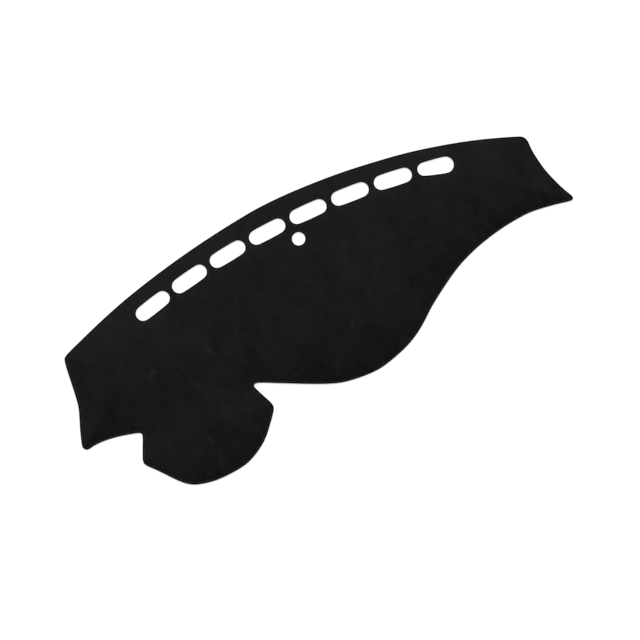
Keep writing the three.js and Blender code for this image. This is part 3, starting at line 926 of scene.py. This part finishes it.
def joined_mesh(name, meshes):
    """Several meshes as one, with their attributes and the first one's material."""
    objects = []
    for mesh in meshes:
        part = bpy.data.objects.new(name + "_part", mesh)
        bpy.context.scene.collection.objects.link(part)
        objects.append(part)
    with bpy.context.temp_override(active_object=objects[0], selected_editable_objects=objects):
        bpy.ops.object.join()
    joined = objects[0].data
    bpy.data.objects.remove(objects[0])
    joined.name = name
    return joined


LOOPER_UNEVENNESS = 0.09
NEEDLE_UNEVENNESS = 0.05
# How far the needle line lies inside the ends of the looper threads
NEEDLE_ASIDE = 0.1 * MM


def edge_threads(name, line, trees):
    """Looper and needle threads of one edge, as two meshes."""
    thread = bpy.context.scene.dash_mat_thread
    cloth = bpy.context.scene.dash_mat_cloth
    values = {
        "Pitch": thread.pitch,
        "Reach": thread.reach,
        "Thickness": cloth.thickness,
        "Radius": thread.radius,
        "Unevenness": LOOPER_UNEVENNESS,
        "Seed": thread.seed,
        "Material": bpy.data.materials["mat_looper_thread"],
    }
    edge = np.column_stack([line, edge_height(line)])
    looper = stitched_mesh(name + "_looper", trees["overlock"], edge, True, values)
    needle_line = line + left_of(line, closed=True) * (thread.reach + NEEDLE_ASIDE)
    needle_edge = np.column_stack([needle_line, edge_height(needle_line)])
    values["Radius"] = thread.needle_radius
    values["Unevenness"] = NEEDLE_UNEVENNESS
    values["Thickness"] = cloth.thickness - cloth.rim_squeeze
    values["Material"] = bpy.data.materials["mat_needle_thread"]
    needle = stitched_mesh(name + "_needle", trees["needle"], needle_edge, True, values)
    return looper, needle


# Materials

# The way that the nap is brushed, and how far each pattern is drawn out along it
NAP_TURN = math.radians(-24)
PATCH_STRETCH = (1.0, 0.55, 1.0)
MOTTLE_STRETCH = (1.0, 0.7, 1.0)
FIBRE_STRETCH = (1.0, 0.35, 1.0)
MOTTLE_HEIGHT = 0.6
# Shares of the painted light and shade from the nap attribute in the colour, and of the pattern in its
# roughness
PAINTED_LIGHT_SHARE = 0.36
NAP_SHINE = -0.08
BACKING_SHINE = -0.05
NAP_DEPTH = 0.35 * MM
BACKING_DEPTH = 0.8 * MM
CLOTH_SPECULAR = 0.05
THREAD_SPECULAR = 0.04
# The thread's twist: its shares in the colour, where it is painted shade between the plies and a painted
# highlight on their crests, the roughness and the bump
TWIST_SHARE, TWIST_BASE = 0.5, 0.25
THREAD_ROUGHNESS, TWIST_SHINE = 0.85, -0.12
TWIST_DEPTH = 0.12 * MM


def surface_tree():
    """Nap pattern: broad brushed patches, mottling and fine fibres as a mask, and a height for the bump."""
    tree, inputs, outputs = new_tree(
        "nap_pattern",
        "ShaderNodeTree",
        {
            "Vector": ("NodeSocketVector", None),
            "Patch Size": ("NodeSocketFloat", 0.07),
            "Mottle Size": ("NodeSocketFloat", 0.014),
            "Fibre Size": ("NodeSocketFloat", 0.0006),
            "Patch Contrast": ("NodeSocketFloat", 0.9),
            "Mottle Contrast": ("NodeSocketFloat", 0.65),
            "Fibre Contrast": ("NodeSocketFloat", 0.3),
        },
        {"Mask": "NodeSocketFloat", "Height": "NodeSocketFloat"},
    )

    def layer(size, contrast, detail, distortion, stretch):
        """Noise of one size, centred on 0, stretched along the way that the nap is brushed."""
        turned = put(
            tree,
            "ShaderNodeMapping",
            {"Vector": inputs["Vector"], "Rotation": (0, 0, NAP_TURN), "Scale": stretch},
        )
        scale = geo(tree, "DIVIDE", 1.0, size)
        value = put(
            tree,
            "ShaderNodeTexNoise",
            {"Vector": turned, "Scale": scale, "Detail": detail, "Roughness": 0.55, "Distortion": distortion},
        )
        return geo(tree, "MULTIPLY", geo(tree, "SUBTRACT", value, 0.5), contrast), value

    patches, _ = layer(inputs["Patch Size"], inputs["Patch Contrast"], 3.0, 0.9, PATCH_STRETCH)
    mottling, _ = layer(inputs["Mottle Size"], inputs["Mottle Contrast"], 4.0, 0.5, MOTTLE_STRETCH)
    fibres, fibre_height = layer(
        inputs["Fibre Size"], inputs["Fibre Contrast"], 3.0, 0.2, FIBRE_STRETCH
    )
    mask = geo(tree, "ADD", geo(tree, "ADD", patches, mottling), geo(tree, "ADD", fibres, 0.5))
    tree.links.new(mask, outputs["Mask"])
    tree.links.new(geo(tree, "MULTIPLY_ADD", mottling, MOTTLE_HEIGHT, fibre_height), outputs["Height"])
    return tree


def twist_tree():
    """Ply of a spun thread, from the place along it and round it."""
    tree, inputs, outputs = new_tree(
        "thread_twist",
        "ShaderNodeTree",
        {
            "Along": ("NodeSocketFloat", 0.0),
            "Around": ("NodeSocketFloat", 0.0),
            "Ply": ("NodeSocketFloat", 1.2 * MM),
        },
        {"Mask": "NodeSocketFloat"},
    )
    turns = geo(tree, "ADD", geo(tree, "DIVIDE", inputs["Along"], inputs["Ply"]), inputs["Around"])
    wave = geo(tree, "SINE", geo(tree, "MULTIPLY", turns, 4 * math.pi))
    tree.links.new(geo(tree, "MULTIPLY_ADD", wave, 0.5, 0.5), outputs["Mask"])
    return tree


def new_material(name):
    """An empty material with a matt surface, and the nodes that feed it."""
    material = bpy.data.materials.new(name)
    material.use_nodes = True
    tree = material.node_tree
    surface = tree.nodes["Principled BSDF"]
    surface.inputs["Metallic"].default_value = 0.0
    place = put(tree, "ShaderNodeTexCoord", output="Object")
    return material, tree, surface, place


def grouped(tree, group, **values):
    """Places a node group and gives its inputs, named with underscores for spaces."""
    node = tree.nodes.new("ShaderNodeGroup")
    node.node_tree = bpy.data.node_groups[group]
    for name, value in values.items():
        socket = node.inputs[name.replace("_", " ")]
        if isinstance(value, bpy.types.NodeSocket):
            tree.links.new(value, socket)
        else:
            socket.default_value = value
    return node.outputs


def between(tree, factor, first, second):
    """A colour between two, given as numbers or from a socket, and held to that range."""
    node = tree.nodes.new("ShaderNodeMix")
    node.data_type = "RGBA"
    node.clamp_factor = True
    tree.links.new(factor, node.inputs["Factor"])
    for socket, color in ((node.inputs["A"], first), (node.inputs["B"], second)):
        if isinstance(color, bpy.types.NodeSocket):
            tree.links.new(color, socket)
        else:
            socket.default_value = (*color, 1)
    return node.outputs["Result"]


def dressed(tree, surface, color, roughness, height, depth):
    """Feeds a surface with its colour, its roughness mask and its bump."""
    tree.links.new(color, surface.inputs["Base Color"])
    tree.links.new(roughness, surface.inputs["Roughness"])
    bump = put(tree, "ShaderNodeBump", {"Height": height, "Strength": 1.0, "Distance": depth})
    tree.links.new(bump, surface.inputs["Normal"])


def suede_material():
    """The napped face: dark where the nap lies flat and paler where it stands, in random patches, with
    painted shade towards the front edges, painted light towards the windscreen and openings, and palest where
    a painted highlight lies on the fold crests.
    """
    cloth = bpy.context.scene.dash_mat_cloth
    material, tree, surface, place = new_material("mat_suede")
    pattern = grouped(tree, "nap_pattern", Vector=place)
    # The nap attribute adds painted light and shade to the random nap tone
    nap = put(tree, "ShaderNodeAttribute", {}, output="Fac", attribute_name="nap")
    mask = geo(tree, "MULTIPLY_ADD", nap, PAINTED_LIGHT_SHARE, pattern["Mask"])
    brushed = between(tree, mask, cloth.dark_nap, cloth.light_nap)
    # Where the nap attribute passes 1 the colour turns to the painted highlight on the fold crests
    color = between(tree, geo(tree, "SUBTRACT", nap, 1.0), brushed, cloth.fold_highlight_nap)
    roughness = geo(tree, "MULTIPLY_ADD", pattern["Mask"], NAP_SHINE, 1.0)
    dressed(tree, surface, color, roughness, pattern["Height"], NAP_DEPTH)
    surface.inputs["Specular IOR Level"].default_value = CLOTH_SPECULAR
    surface.inputs["Sheen Weight"].default_value = 0.09
    surface.inputs["Sheen Roughness"].default_value = 0.45
    return material


def backing_material():
    """The plain back: an even, coarser felt."""
    cloth = bpy.context.scene.dash_mat_cloth
    material, tree, surface, place = new_material("mat_backing")
    pattern = grouped(
        tree,
        "nap_pattern",
        Vector=place,
        Patch_Contrast=0.1,
        Mottle_Contrast=0.3,
        Fibre_Size=0.0011,
        Fibre_Contrast=0.7,
    )
    color = between(tree, pattern["Mask"], cloth.dark_nap, cloth.light_nap)
    roughness = geo(tree, "MULTIPLY_ADD", pattern["Mask"], BACKING_SHINE, 1.0)
    dressed(tree, surface, color, roughness, pattern["Height"], BACKING_DEPTH)
    surface.inputs["Specular IOR Level"].default_value = CLOTH_SPECULAR
    return material


def thread_material(name, dark, light):
    """A spun thread with painted shade between its plies and a painted highlight on their crests, over a
    random fibre tone.
    """
    material, tree, surface, place = new_material(name)
    along = put(tree, "ShaderNodeAttribute", {}, output="Fac", attribute_name="along")
    around = put(tree, "ShaderNodeAttribute", {}, output="Fac", attribute_name="around")
    twist = grouped(tree, "thread_twist", Along=along, Around=around)["Mask"]
    pattern = grouped(tree, "nap_pattern", Vector=place, Patch_Contrast=0.25, Fibre_Size=0.0004)
    # Painted shade between the plies and painted highlight on their crests
    plies = geo(tree, "MULTIPLY_ADD", twist, TWIST_SHARE, TWIST_BASE)
    color = between(tree, geo(tree, "MULTIPLY", plies, pattern["Mask"]), dark, light)
    roughness = geo(tree, "MULTIPLY_ADD", twist, TWIST_SHINE, THREAD_ROUGHNESS)
    dressed(tree, surface, color, roughness, twist, TWIST_DEPTH)
    surface.inputs["Specular IOR Level"].default_value = THREAD_SPECULAR
    return material


def floor_material(stage):
    """Pale matt floor that the camera and mirrors see as white, with the object's shadow kept."""
    material = bpy.data.materials.new("studio_floor")
    material.use_nodes = True
    tree = material.node_tree
    surface = tree.nodes["Principled BSDF"]
    surface.inputs["Base Color"].default_value = (stage.floor, stage.floor, stage.floor, 1)
    surface.inputs["Roughness"].default_value = 1.0
    surface.inputs["Specular IOR Level"].default_value = 0.0
    path = tree.nodes.new("ShaderNodeLightPath")
    seen = geo(tree, "MAXIMUM", path.outputs["Is Camera Ray"], path.outputs["Is Glossy Ray"])
    seen = geo(tree, "MAXIMUM", seen, path.outputs["Is Transmission Ray"])
    glowing = geo(tree, "MULTIPLY", seen, stage.backdrop)
    glow = put(tree, "ShaderNodeEmission", {"Color": (1, 1, 1, 1), "Strength": glowing})
    both = put(tree, "ShaderNodeAddShader", {0: surface.outputs[0], 1: glow})
    tree.links.new(both, tree.nodes["Material Output"].inputs["Surface"])
    return material


# One operator for each group of pieces

# Dart seams: points of the line that are left out at the edge, and heights over the face of the cloth
SEAM_FROM = 3
SEAM_LIES = -0.45 * MM
SEAM_BED = 0.12 * MM
TACK_LIES = 0.1 * MM
TACK_PITCH = 3 * MM
SEAM_UNEVENNESS = 0.1
# The stage: half the width of its floor, and the lamp's distance, which a lamp so far off doesn't show
FLOOR_HALF = 6.0
LAMP_AWAY = 2.4


class DASHMAT_OT_materials(bpy.types.Operator):
    """Make the shared patterns and the thread"""

    bl_idname = "dash_mat.materials"
    bl_label = "Patterns"

    def execute(self, context):
        surface_tree()
        twist_tree()
        thread = context.scene.dash_mat_thread
        thread_material("mat_looper_thread", thread.color, thread.fibre_and_crest_highlight)
        thread_material("mat_needle_thread", thread.needle_color_and_sheen, thread.needle_fibre_and_crest_highlight)
        thread_material("mat_dart_thread", thread.dart_color, thread.dart_fibre_and_crest_highlight)
        return {"FINISHED"}


class DASHMAT_OT_cloth(bpy.types.Operator):
    """Make the sheet of suede-like cloth"""

    bl_idname = "dash_mat.cloth"
    bl_label = "Cloth"

    def execute(self, context):
        add_piece("mat_cloth", cloth_mesh(context.scene.dash_mat_cloth), "cloth", PANEL_NODE)
        return {"FINISHED"}


class DASHMAT_OT_edges(bpy.types.Operator):
    """Make the threads round the outer edge, the slots and the sensor hole"""

    bl_idname = "dash_mat.edges"
    bl_label = "Edge Threads"

    def execute(self, context):
        trees = {"overlock": overlock_tree(), "needle": needle_tree()}
        looper, needle = edge_threads("outer_edge", outer_line, trees)
        add_piece("outer_edge_looper_thread", looper, "thread", OUTER_NODE)
        add_piece("outer_edge_needle_thread", needle, "thread")
        for node, line in opening_lines.items():
            name = node.replace("_overlock", "_edge")
            meshes = edge_threads(name, line, trees)
            add_piece(name + "_thread", joined_mesh(name + "_thread", meshes), "thread", node)
        return {"FINISHED"}


class DASHMAT_OT_darts(bpy.types.Operator):
    """Make the stitches that close the darts"""

    bl_idname = "dash_mat.darts"
    bl_label = "Dart Seams"

    def execute(self, context):
        thread = context.scene.dash_mat_thread
        cloth = context.scene.dash_mat_cloth
        tree = seam_tree()
        tacks = bpy.data.node_groups["needle_stitches"]
        values = {
            "Pitch": thread.dart_pitch,
            "Reach": thread.seam_width,
            "Thickness": SEAM_BED,
            "Radius": thread.dart_radius,
            "Unevenness": SEAM_UNEVENNESS,
            "Seed": thread.seed + 3,
            "Material": bpy.data.materials["mat_dart_thread"],
        }
        for node, line in dart_lines.items():
            inner = line[SEAM_FROM:]
            top = edge_height(inner) + cloth.thickness + SEAM_LIES
            seam = np.column_stack([inner, top])
            name = node.replace("_thread", "_seam")
            meshes = [stitched_mesh(name, tree, seam, False, values)]
            for number in range(TACKS):
                tack = tack_line(line, number)
                at_top = edge_height(tack) + cloth.thickness + TACK_LIES
                tack = np.column_stack([tack, at_top])
                spaced = {**values, "Pitch": TACK_PITCH}
                meshes.append(stitched_mesh(f"{name}_tack_{number}", tacks, tack, False, spaced))
            add_piece(name, joined_mesh(name, meshes), "thread", node)
        return {"FINISHED"}


class DASHMAT_OT_stage(bpy.types.Operator):
    """Make the floor, the lights and the camera"""

    bl_idname = "dash_mat.stage"
    bl_label = "Stage"

    def execute(self, context):
        scene = context.scene
        stage = scene.dash_mat_stage
        mesh = bpy.data.meshes.new("floor")
        half = FLOOR_HALF
        corners = [(-half, -half, 0), (half, -half, 0), (half, half, 0), (-half, half, 0)]
        mesh.from_pydata(corners, [], [(0, 1, 2, 3)])
        mesh.materials.append(floor_material(stage))
        floor = bpy.data.objects.new("floor", mesh)
        scene.collection.objects.link(floor)

        lamp = bpy.data.lights.new("key_light", "SUN")
        lamp.angle = stage.key_spread
        lamp.energy = stage.key
        key = bpy.data.objects.new("key_light", lamp)
        upwards = Vector((math.sin(-stage.turn), math.cos(-stage.turn), math.tan(stage.key_rise)))
        key.location = upwards * LAMP_AWAY
        key.rotation_euler = (-key.location).to_track_quat("-Z", "Y").to_euler()
        scene.collection.objects.link(key)

        world = bpy.data.worlds.new("studio")
        world.use_nodes = True
        background = world.node_tree.nodes["Background"]
        background.inputs["Color"].default_value = (1, 1, 1, 1)
        path = world.node_tree.nodes.new("ShaderNodeLightPath")
        seen = geo(world.node_tree, "MAXIMUM", path.outputs["Is Camera Ray"], path.outputs["Is Glossy Ray"])
        strength = geo(world.node_tree, "MULTIPLY_ADD", seen, 1 - stage.fill, stage.fill)
        world.node_tree.links.new(strength, background.inputs["Strength"])
        scene.world = world

        lens = bpy.data.cameras.new("camera")
        lens.sensor_fit = "HORIZONTAL"
        lens.lens = lens.sensor_width * stage.height / stage.picture
        camera = bpy.data.objects.new("camera", lens)
        camera.location = (*stage.centre, stage.height)
        camera.rotation_euler = (0, 0, stage.turn)
        scene.collection.objects.link(camera)
        scene.camera = camera
        scene.view_settings.view_transform = "Standard"
        return {"FINISHED"}


class DASHMAT_OT_declare(bpy.types.Operator):
    """A step that does nothing"""

    bl_idname = "dash_mat.declare"
    bl_label = "Sheet"

    def execute(self, context):
        return {"FINISHED"}


STEPS = (
    DASHMAT_OT_materials,
    DASHMAT_OT_cloth,
    DASHMAT_OT_edges,
    DASHMAT_OT_darts,
    DASHMAT_OT_stage,
    DASHMAT_OT_declare,
)


class DASHMAT_PT_panel(bpy.types.Panel):
    """Lists the steps that make the mat"""

    bl_idname = "DASHMAT_PT_panel"
    bl_label = "Dashboard Cover Mat"
    bl_space_type = "VIEW_3D"
    bl_region_type = "UI"
    bl_category = "Dash Mat"

    def draw(self, context):
        for step in STEPS:
            self.layout.operator(step.bl_idname)
        for settings in ("dash_mat_cloth", "dash_mat_thread", "dash_mat_stage"):
            group = getattr(context.scene, settings)
            box = self.layout.box()
            for name in group.__annotations__:
                box.prop(group, name)


SETTINGS = {
    "dash_mat_cloth": DashMatClothSettings,
    "dash_mat_thread": DashMatThreadSettings,
    "dash_mat_stage": DashMatStageSettings,
}


def register():
    for group in (*SETTINGS.values(), *STEPS, DASHMAT_PT_panel):
        bpy.utils.register_class(group)
    for name, group in SETTINGS.items():
        setattr(bpy.types.Scene, name, bpy.props.PointerProperty(type=group))


def unregister():
    for name in SETTINGS:
        delattr(bpy.types.Scene, name)
    for group in reversed((*SETTINGS.values(), *STEPS, DASHMAT_PT_panel)):
        bpy.utils.unregister_class(group)


def main():
    register()
    bpy.ops.dash_mat.materials()
    bpy.ops.dash_mat.cloth()
    bpy.ops.dash_mat.edges()
    bpy.ops.dash_mat.darts()
    bpy.ops.dash_mat.stage()
    bpy.ops.dash_mat.declare()


if __name__ == "__main__":
    main()
